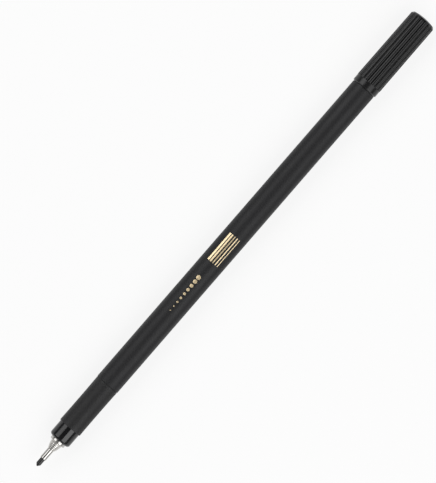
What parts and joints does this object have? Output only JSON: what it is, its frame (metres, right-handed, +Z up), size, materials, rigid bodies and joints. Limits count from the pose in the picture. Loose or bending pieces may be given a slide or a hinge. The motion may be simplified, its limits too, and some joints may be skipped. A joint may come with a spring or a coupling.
{
  "type": "fineliner pen",
  "caption": "Slim round fineliner pen with a metal-clad fibre nib, waisted grip and a ribbed pull-off cap pushed on its rear end.",
  "frame": {"origin": "on the surface that the pen lies on, under the middle of its length", "axes": "+X along the pen from the nib to the cap's end, +Z up"},
  "size_m": [0.1708, 0.0082, 0.0083],
  "materials": {
    "soft_touch_black": "matte soft-touch black",
    "grip_rubber": "matte black soft sleeve",
    "gloss_black": "glossy moulded black",
    "turned_nickel": "turned, satin, with a polished ring",
    "polished_steel": "polished drawn tube",
    "inked_fibre": "bonded fibre soaked in black ink",
    "ink_core": "fibre rod soaked in ink",
    "clear_film": "thin wrapped film",
    "cap_black": "semi-gloss moulded black",
    "seal_plastic": "natural soft sealing plastic"
  },
  "bodies": {
    "pen": {"barrel": "soft_touch_black", "grip_sleeve": "grip_rubber", "nib_holder": "gloss_black", "nose_cone": "turned_nickel", "nib_tube": "polished_steel", "fibre_nib": "inked_fibre", "ink_reservoir": "ink_core", "reservoir_film": "clear_film", "rear_plug": "gloss_black"},
    "cap": {"cap_shell": "cap_black", "inner_cap": "seal_plastic"}
  },
  "joints": [
    {"name": "cap_pull", "type": "slide", "parent": "pen", "child": "cap", "axis": [1, 0, 0], "range_m": [0, 0.03]}
  ]
}
